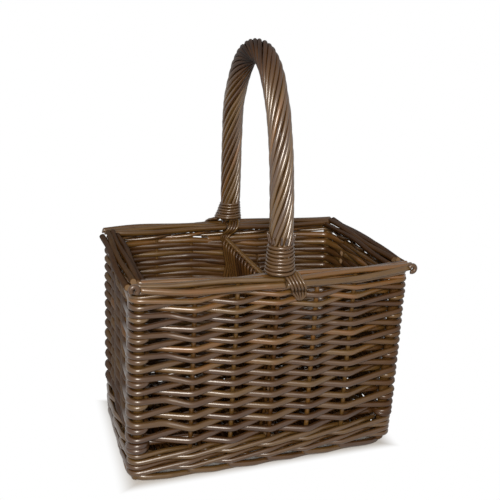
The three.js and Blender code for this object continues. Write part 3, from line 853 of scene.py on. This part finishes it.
def weaver_controls(first_row, draw):
    """Points of a weaver, each with its thickness, gloss and place in stations."""
    controls = []
    for index in range(STEP_FIRST, LAST_STATION + 1):
        row = weaver_row(index, first_row)
        pitch, thickness = row_pitch(row), row_thickness(row)
        kind = int(row) % 4
        wall, post = STATIONS[index % ROUND]["wall"], STATIONS[index % ROUND]["post"]
        front_post = post and wall < 2
        raised = front_post and kind == RAISED_ROW
        outside = index % 2 == first_row
        level = row_level(row) + draw.uniform(-ROW_WAVER, ROW_WAVER)
        fullness = WALL_FULLNESSES[wall]
        gloss = WALL_GLOSSES[wall]
        turn = None
        if front_post:
            fullness = 1
            outside = kind in (SLANTED_ROW, RAISED_ROW)
            level += pitch * (LAST_RAISE_SHARE if raised and row >= ROWS - 1 else CORNER_LIFT_SHARES[kind])
            if kind == TURNED_ROW:
                turn = post_turn(row)
        elif post:
            fullness = BACK_POST_FULLNESSES[wall - 2]
        else:
            dip = ROW_DIPS[wall] * draw.uniform(*DIP_RANGE)
            level += -dip if outside else dip
        width = thickness * WEAVER_FLATNESS
        spread = (STAKE_DIAMETER / 2 + width / 2 + STAKE_ROUNDING) * SPREAD_SHARES[wall]
        for point, place in pass_station(index, outside, spread, width, level, turn):
            controls.append([*point, thickness * fullness, gloss, place])
        if raised and row < ROWS - 1:
            middle = between_stations(index, row_level(row) + RAISED_STROKE_SHARE * pitch)
            controls.append([*middle, thickness * WALL_FULLNESSES[wall], gloss, index + 0.5])
    return controls


def hides_no_joint(index):
    """True for the posts and the front wall's stakes, where the rods run on unbroken."""
    station = STATIONS[index % ROUND]
    return station["post"] or station["wall"] == 0


def add_wall_weaver(name, first_row, seed):
    rods = Rods(seed)
    draw = rods.random
    path = softened(weaver_controls(first_row, draw))
    thicknesses, glosses, places = path[:, 3:].T
    start = STEP_FIRST + 0.3
    last = LAST_STATION - 0.4
    while start < last:
        join = int(start) + draw.choice(ROD_STATIONS)
        join += (join + first_row + 1) % 2
        while hides_no_joint(join):
            join += 2
        if last - join < SHORTEST_ROD:
            join = last
        part = (places > start + JOINT_GAP) & (places < join - JOINT_GAP)
        thickness = thicknesses[part].mean()
        taper = [draw.uniform(*limits) for limits in ROD_TAPERS]
        rods.rod(path[part], thickness * draw.uniform(*ROD_RANGE), pick_tone(draw), taper=taper,
                 flat=WEAVER_FLATNESS, sway_ends=False, fullness=thicknesses[part] / thickness,
                 gloss=glosses[part])
        start = join
    rods.piece(name, "wall_willow")


def add_wale(name, level, diameter, seed):
    """Three rods, each before two uprights and behind one, as one path that goes three times round."""
    rods = Rods(seed)
    draw = rods.random
    rise = diameter * WALE_RISE_SHARE
    spread = STAKE_DIAMETER / 2 + WALE_SLACK + diameter / 2 + STAKE_ROUNDING
    controls = []
    for index in range(3 * ROUND + 3):
        phase = index % 3
        lift = (-rise, rise, 0)[phase]
        for point, place in pass_station(index, phase < 2, spread, diameter, level + lift):
            controls.append([*point, place])
        if phase > 0:
            height = level + rise if phase == 1 else level - rise
            controls.append([*between_stations(index, height), index + 0.5])
    path = softened(controls)
    starts = [2 + lap * ROUND for lap in range(4)]
    joins = [start + (2 - start) % 3 for start in starts]
    for start, end in zip(joins[:-1], joins[1:]):
        part = path[(path[:, 3] > start + JOINT_GAP) & (path[:, 3] < end - JOINT_GAP)]
        rods.rod(part, diameter * draw.uniform(*WALE_RANGE), pick_tone(draw, *WALE_TONE), sway_ends=False)
    rods.piece(name, "wall_willow")


# Foot border: each upright's rod bends to the right, runs down over the next one and ends under it

def foot_arc(corner, share, outward, z):
    middle = corner_point(corner, FOOT_CORNER, z)
    return middle + corner_step(corner, EIGHTH * share, FOOT_CORNER + outward)


def along_foot(place, outward, z):
    """A point of the foot, at a place given in stations, with rounded corners."""
    index = int(math.floor(place))
    share = place - index
    here, after, start, end = stretch_after(index, FOOT_CORNER, z)
    wall = here["wall"]
    if here["post"] and share < FOOT_CORNER_SHARE:
        return foot_arc(wall, share / FOOT_CORNER_SHARE, outward, z)
    if after["post"] and share > 1 - FOOT_CORNER_SHARE:
        return foot_arc((wall + 1) % 4, (share - 1) / FOOT_CORNER_SHARE, outward, z)
    low = FOOT_CORNER_SHARE if here["post"] else 0
    high = 1 - FOOT_CORNER_SHARE if after["post"] else 1
    return wall_point(wall, mix(start, end, (share - low) / (high - low)), outward, z)


def add_foot_border():
    rods = Rods(7)
    draw = rods.random
    radius = FOOT_ROD / 2
    for index in range(ROUND):
        controls = [along_foot(index + 0.02, 0, BOTTOM_WALE_LEVEL - BOTTOM_WALE_ROD)]
        for place, outward, height in FOOT_BEND:
            controls.append(along_foot(index + place, outward * radius, height * radius))
        for place in FOOT_RUN:
            level = mix(*FOOT_HEIGHTS, min(1, place / FOOT_DESCENT)) * radius
            outward = mix(*FOOT_SHIFTS, min(1, max(0, place - FOOT_TUCK_START) / FOOT_TUCK)) * radius
            controls.append(along_foot(index + place, outward, level))
        path = softened(controls, 1.7 * MM, FINE_STEP)
        rods.rod(path, FOOT_ROD * draw.uniform(*FOOT_RANGE), pick_tone(draw, *FOOT_TONE), wobble=0.1 * MM,
                 taper=(1, 0.85), reference=np.array([0.3, 0.2, 1.0]))
    rods.piece("foot_border", "border_willow")


# Base and divider: rods with a weaver to and fro over them

def panel_path(places, passes, clear, place):
    """Points of a weaver over and under the rods at these places, with a turn at each end of a pass."""
    reach = clear * CAP_REACH_SHARE
    points = []
    for number in range(passes):
        order = list(enumerate(places))
        if number % 2:
            order.reverse()
        for k, (j, travel) in enumerate(order):
            side = 1 if (number + j) % 2 == 0 else -1
            at_end = k in (0, len(order) - 1)
            points.append(place(travel, number, side * (reach if at_end else clear)))
            if k == len(order) - 1 and number < passes - 1:
                outer = travel + math.copysign(reach, travel - order[0][1])
                points.append(place(outer, number + 1 / 3, side * reach * CAP_CORNER_SHARE))
                points.append(place(outer, number + 2 / 3, -side * reach * CAP_CORNER_SHARE))
    return points


def add_hidden_rod(node, seed, start, end, diameter):
    rods = Rods(seed)
    rods.rod(straight(start, end), diameter, pick_tone(rods.random, *HIDDEN_TONE))
    rods.piece(node, "upright_willow")


def add_base():
    low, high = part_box("base_weaver")
    places = []
    for number in range(5):
        node = f"base_stick_{number + 1}"
        start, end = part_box(node)
        places.append((start.y + end.y) / 2)
        ends = [(x, places[-1], BOTTOM_WALE_LEVEL) for x in (start.x, end.x)]
        add_hidden_rod(node, 40 + number, *ends, BASE_STICK)
    rods = Rods(47, BASE_WEAVER_GLOSS)
    clear = BASE_STICK / 2 + CLEARANCE + BASE_WEAVER / 2
    room = high.x - low.x - BASE_WEAVER
    passes = int(room / (BASE_WEAVER + BASE_WEAVER_GAP)) + 1

    def place(y, number, side):
        return [-room / 2 + number * room / (passes - 1), y, BOTTOM_WALE_LEVEL + side]

    path = softened(panel_path(places, passes, clear, place), 1.6 * MM, FINE_STEP)
    cuts = np.linspace(0, len(path) - 1, BASE_WEAVER_RODS + 1).astype(int)
    for start, end in zip(cuts[:-1], cuts[1:]):
        rods.rod(path[start:end + 1], BASE_WEAVER * BASE_WEAVER_FULLNESS,
                 # A dark tone, as painted shade inside the basket
                 pick_tone(rods.random, *BASE_WEAVER_SHADED_TONE), ALONG_X, wobble=0, knots=0.1)
    rods.piece("base_weaver", "wall_willow")


def divider_half_at(z):
    return half_width_at(z) + LONG_WALL_BOW - half_wall_at(z) - CLEARANCE


def add_divider():
    levels = []
    for number in range(DIVIDER_RODS):
        node = f"divider_rod_{number + 1}"
        start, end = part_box(node)
        levels.append((start.z + end.z) / 2)
        ends = [(0, y, levels[-1]) for y in (start.y, end.y)]
        add_hidden_rod(node, 60 + number, *ends, DIVIDER_ROD)
    rods = Rods(66)
    draw = rods.random
    clear = DIVIDER_ROD / 2 + CLEARANCE + SKEIN / 2
    room = 2 * divider_half_at(levels[0]) - SKEIN
    passes = int(room / (SKEIN + SKEIN_GAP)) + 1

    def place(z, number, side):
        half = divider_half_at(z) - SKEIN / 2
        return [side, mix(-half, half, number / (passes - 1)), z, number]

    path = softened(panel_path(levels, passes, clear, place), TIGHT_BEND, FINE_STEP)
    start = 0
    while start < passes:
        end = start + draw.choice(SKEIN_PASSES)
        part = path[(path[:, 3] >= start - 0.35) & (path[:, 3] <= end - 0.4)]
        if len(part) > 4:
            tone = mix(*SKEIN_TONES, 1 - start / passes)
            rods.rod(part, SKEIN * draw.uniform(*SKEIN_RANGE), pick_tone(draw, tone, SKEIN_TONE_SPREAD),
                     ALONG_Y, wobble=0.15 * MM, sides=8, knots=0.12)
        start = end
    edge = levels[-1] + DIVIDER_ROD / 2 + SKEIN
    half = divider_half_at(edge) - SKEIN
    steps = int(2 * half / WHIPPING_PITCH) * WHIPPING_STEPS
    angles = 2 * math.pi * np.arange(steps + 1) / WHIPPING_STEPS
    wound = np.stack([WHIPPING_RADIUS * np.cos(angles), np.linspace(half, -half, steps + 1),
                      edge + WHIPPING_RADIUS * np.sin(angles)], axis=1)
    # A light wound rod, its tone partly a painted highlight along the top edge
    rods.rod(wound, WHIPPING_ROD, WHIPPING_HIGHLIGHT_TONE, ALONG_Y, sides=6, wobble=0, knots=0)
    rods.piece("divider_skein", "divider_willow")


# Top border. It parts round the handle's feet, and the rods of the long walls are joined there, under the
# ties. Their ends draw together, and a small loop of rod closes each front corner.

PART_WIDTH = STAKE_DIAMETER / 2 + CLEARANCE + BORDER_ROD / 2 - CROWN_OUT
BORDER_OVERHANG = EDGE_OUT + BORDER_ROD / 2
BORDER_PLACES = {
    "outer_edge": (EDGE_OUT, EDGE_LEVEL),
    "outer_crown": (CROWN_OUT, CROWN_LEVEL),
    "inner_crown": (-CROWN_OUT, CROWN_LEVEL),
    "inner_edge": (-EDGE_OUT, EDGE_LEVEL),
}


def parting_at(along):
    return PART_WIDTH * math.sin(max(0, 1 - abs(along) / PART_REACH) * QUARTER) ** 2


def border_sag(wall, key, share):
    """How far a rod hangs below its level. Only the front border does, between its ends."""
    if wall != 0:
        return 0
    edge_sag = EDGE_SAG * (1 - max(0, share) ** 3) if key == "outer_edge" else 0
    return FRONT_SAG * (1 - share ** 4) + edge_sag


def border_path(wall, number, key):
    """The path of one border rod. It sways round its place, each rod a little after the one before."""
    outward, level = BORDER_PLACES[key]
    if is_long(wall):
        end = half_length_at(level) + BORDER_OVERHANG - END_STAGGER_SHARES[key] * BORDER_ROD
    else:
        end = half_width_at(level) - BORDER_OVERHANG - END_GAP
    first, last = -end + END_SHIFTS[wall][0], end + END_SHIFTS[wall][1]
    controls = []
    for along in np.linspace(first, last, BORDER_POINTS):
        height = level - border_sag(wall, key, along / end)
        side = outward
        if is_long(wall):
            near_end = max(0, 1 - min(along - first, last - along) / DRAWN_IN)
            side += math.copysign(parting_at(along), outward)
            side *= 1 - DRAWN_IN_SHARE * near_end ** 1.5
        turn = along / BORDER_LAY + 2 * number
        side += BORDER_SWAY * math.sin(turn)
        controls.append(wall_point(wall, along, side, height + BORDER_SWAY * math.cos(turn)))
    return softened(controls, 6 * MM)


def border_tones(wall, key):
    if wall == 0:
        return FRONT_TONES[key]
    tone = BORDER_TONES[WALLS[wall]]
    return tone, tone + HALF_TONE_STEP


def add_loops(rods):
    for middle, start in LOOPS:
        turn = np.radians(np.linspace(start, start - LOOP_SWEEP, 24))[:, None]
        loop = middle + LOOP_RADIUS * (np.cos(turn) * ALONG_X + np.sin(turn) * UP)
        rods.rod(loop, LOOP_ROD, pick_tone(rods.random, *LOOP_TONE), ALONG_Y, wobble=0, knots=0)


def add_border():
    for wall, wall_name in enumerate(WALLS):
        for number, key in enumerate(BORDER_PLACES):
            rods = Rods(200 + 10 * wall + number, BORDER_GLOSSES[wall])
            draw = rods.random
            path = border_path(wall, number, key)
            parts = np.split(path, [len(path) // 2]) if is_long(wall) else [path]
            for part, tone in zip(parts, border_tones(wall, key)):
                rods.rod(part, BORDER_ROD * BORDER_FULLNESS * draw.uniform(*ROD_RANGE),
                         pick_tone(draw, tone, BORDER_TONE_SPREAD), wobble=0.35 * MM,
                         slant=(draw.uniform(-0.5, 0.5), draw.uniform(-0.5, 0.5)), knots=0.045)
            if wall == 0 and key == "outer_crown":
                add_loops(rods)
            rods.piece(f"border_{wall_name}_{key}", "border_willow")


# Handle. Its back foot stands to one side.

ARCH_HALF_SPAN = -wall_point(0, 0, 0, RIM_TOP)[1]


def arch_point(angle):
    power = 2 / ARCH_SQUARENESS
    reach = abs(math.cos(angle)) ** power * ARCH_HALF_SPAN
    rise = max(0, math.sin(angle)) ** power * HANDLE_RISE
    skew = BACK_FOOT_SKEW * max(0, 1 - (rise / SKEW_RISE) ** 2) if math.cos(angle) < 0 else 0
    return np.array([skew, -math.copysign(reach, math.cos(angle)), RIM_TOP + rise])


def arch_angle_at(level):
    return math.asin(((level - RIM_TOP) / HANDLE_RISE) ** (ARCH_SQUARENESS / 2))


def arch_path(from_level):
    start = arch_angle_at(from_level)
    return resampled([arch_point(angle) for angle in np.linspace(start, math.pi - start, 400)], STEP)


def add_bow():
    rods = Rods(80)
    rods.rod(arch_path(HANDLE_FOOT + BOW_FOOT_GAP), BOW_DIAMETER * BOW_FULLNESS, BOW_TONE, ALONG_X, wobble=0)
    for wall in (0, 2):
        ends = (wall_point(wall, 0, 0, UPRIGHT_FOOT), wall_point(wall, 0, 0, HANDLE_FOOT))
        rods.rod(straight(*ends), STAKE_DIAMETER, BOW_FOOT_TONE, ALONG_X, wobble=0.2 * MM)
    rods.piece("handle_bow", "upright_willow")


def rope_diameter_at(from_end):
    """The collars pinch the rope. The pinch fades out over their last quarter."""
    inside_collar = max(0, 1 - from_end / (COLLAR_TURNS * COLLAR_PITCH))
    return ROPE_DIAMETER - ROPE_PINCH * min(1, 4 * inside_collar)


def add_rope():
    rods = Rods(90)
    draw = rods.random
    arch = arch_path(HANDLE_FOOT)
    travel = travel_of(arch)
    inward = np.cross(unit(np.gradient(arch, axis=0)), ALONG_X)
    outer = np.array([rope_diameter_at(min(t, travel[-1] - t)) for t in travel]) / 2
    centre = (outer - ROPE_STRAND / 2)[:, None]
    lay = 2 * math.pi * travel / ROPE_LEAD
    arch_top_share = np.clip(((arch[:, 2] - RIM_TOP) / HANDLE_RISE - ARCH_TOP_START) / (1 - ARCH_TOP_START), 0, 1)
    for number in range(ROPE_STRANDS):
        drift = ROPE_DRIFT * np.sin(travel / draw.uniform(50 * MM, 90 * MM) + draw.uniform(*ANY_PHASE))
        angle = (lay + 2 * math.pi * number / ROPE_STRANDS + drift)[:, None]
        path = arch + centre * np.cos(angle) * ALONG_X + centre * np.sin(angle) * inward
        # Towards the top of the arch the tone is darkened as painted shade, and the coat thins
        tone = pick_tone(draw, *ROPE_TONE) * (1 - ARCH_TOP_SHADE_AND_DULLING * arch_top_share)
        rods.rod(path, ROPE_STRAND * draw.uniform(*STRAND_RANGE), tone, ALONG_X, wobble=0.15 * MM,
                 fullness=1 + ARCH_TOP_SWELL * arch_top_share, gloss=1 - ARCH_TOP_SHADE_AND_DULLING * arch_top_share)
    foot = arch_point(arch_angle_at(HANDLE_FOOT + FRAY_LEVEL))
    for number in range(FRAYED_ENDS):
        angle = 2 * math.pi * (number + draw.uniform(*FRAY_STRAY)) / FRAYED_ENDS
        around = np.array([math.cos(angle), math.sin(angle), 0])
        start = foot + around * FRAY_RADIUS
        tip = foot + around * draw.uniform(*FRAY_REACH) + UP * draw.uniform(*FRAY_RISE)
        rods.rod(straight(start, tip, 1.5 * MM), FRAYED_ROD, draw.uniform(*FRAY_TONES), ALONG_X,
                 taper=(1, 0.5), wobble=0.1 * MM, knots=0)
    rods.piece("handle_rope", "handle_willow")


def add_collar(side, turns, pitch, low_radius, top_radius):
    """A skein wound round one foot of the handle. side is -1 at the front wall and 1 at the back."""
    rods = Rods(120 + side)
    draw = rods.random
    tilts = [draw.uniform(-TURN_TILT, TURN_TILT) for _ in range(turns + 2)]
    foot = HANDLE_FOOT - (FRONT_COLLAR_DROP if side < 0 else 0)
    controls = []
    for k in range(turns * COLLAR_STEPS + 1):
        turn = k / COLLAR_STEPS
        level = foot + COLLAR_SKEIN / 2 + pitch * turn
        axis = arch_point(arch_angle_at(max(level, RIM_TOP + 1 * MM)))
        if side > 0:
            lean = BACK_COLLAR_LEAN * (1 - turn / turns) * ALONG_X
            axis = arch_point(math.pi - arch_angle_at(level)) - lean
        radius = mix(low_radius, top_radius, (turn / turns) ** COLLAR_WAIST)
        angle = 2 * math.pi * turn
        loose = LOOSE_TURN * max(0, 1 - turn) * math.cos(angle + LOOSE_TURN_ANGLE)
        level += tilts[int(turn)] * math.sin(angle) + loose
        controls.append([axis[0] + radius * math.cos(angle), axis[1] + radius * math.sin(angle), level])
    path = softened(controls, TIGHT_BEND, 2.5 * MM)
    rods.rod(path, pitch, COLLAR_TONE, wobble=0.1 * MM, flat=COLLAR_FLATNESS)
    rods.piece("front_collar" if side < 0 else "back_collar", "binding_willow")


def tie_profile(wall, side, reach):
    """A tie comes out of the collar and runs over the crown and the edge rod, then down the wall."""
    edge_key = "outer_edge" if side > 0 else "inner_edge"
    crown = (CROWN_OUT + PART_WIDTH, CROWN_LEVEL - border_sag(wall, "outer_crown", 0))
    edge = (EDGE_OUT + PART_WIDTH, EDGE_LEVEL - border_sag(wall, edge_key, 0))
    face = half_wall_at(WALL_HEIGHT) + 2 * CLEARANCE + TIE_THICKNESS / 2
    profile = [(0, crown[1] + TIE_TOP * reach)]
    for (outward, level), turns in ((crown, TIE_CROWN_TURNS), (edge, TIE_EDGE_TURNS)):
        for turn in turns:
            angle = turn * QUARTER
            profile.append((outward + reach * math.cos(angle), level + reach * math.sin(angle)))
    for inward, drop in TIE_DROPS:
        profile.append((face - inward, edge[1] - drop * reach))
    return profile


def add_tie(name, wall, side, count, middle, lean):
    """A tie of several rods, inside or outside the wall. middle is its place along it, lean its slant."""
    rods = Rods(140 + 2 * wall + side)
    draw = rods.random
    profile = tie_profile(wall, side, BORDER_ROD * BORDER_FULLNESS / 2 + TIE_ROD / 2)
    drops = [min(profile[1][1] - level, profile[1][1] - profile[-2][1]) for _, level in profile]
    for number in range(count):
        controls = []
        for (outward, level), gather, drop in zip(profile, TIE_GATHERS, drops):
            along = middle + (number + 0.5 - count / 2) * gather * TIE_ROD + lean * drop
            y = wall_point(0, 0, side * outward, level)[1]
            controls.append(turned(np.array([along, y, level]), wall * QUARTER))
        path = softened(controls, TIGHT_BEND, FINE_STEP)
        rods.rod(path, TIE_ROD * TIE_FULLNESS, pick_tone(draw, *TIE_TONE), TIE_REFERENCE, wobble=0.05 * MM,
                 knots=0, taper=(1, 0.6))
    rods.piece(name, "binding_willow")


aim_camera()
set_world()
add_floor()
add_lamp()

add_uprights()
add_wall_weaver("wall_weaver_outer_posts", first_row=0, seed=11)
add_wall_weaver("wall_weaver_inner_posts", first_row=1, seed=12)
add_wale("bottom_wale_1", BOTTOM_WALE_LEVEL, BOTTOM_WALE_ROD, seed=21)
add_wale("bottom_wale_2", BOTTOM_WALE_LEVEL + BOTTOM_WALE_PITCH, BOTTOM_WALE_ROD, seed=22)
add_wale("top_wale", TOP_WALE_LEVEL, TOP_WALE_ROD, seed=23)
add_foot_border()
add_base()
add_divider()
add_border()
add_bow()
add_rope()
add_collar(side=-1, turns=COLLAR_TURNS, pitch=COLLAR_PITCH, low_radius=15.4 * MM, top_radius=12.6 * MM)
add_collar(side=1, turns=6, pitch=3.4 * MM, low_radius=16.8 * MM, top_radius=11.6 * MM)
add_tie("front_outer_tie", wall=0, side=1, count=5, middle=10.5 * MM, lean=0.45)
add_tie("front_inner_tie", wall=0, side=-1, count=4, middle=7.2 * MM, lean=0.55)
add_tie("back_outer_tie", wall=2, side=1, count=4, middle=12 * MM, lean=0.55)
add_tie("back_inner_tie", wall=2, side=-1, count=4, middle=-10.5 * MM, lean=0.65)

bpy.context.scene.view_settings.view_transform = "Standard"
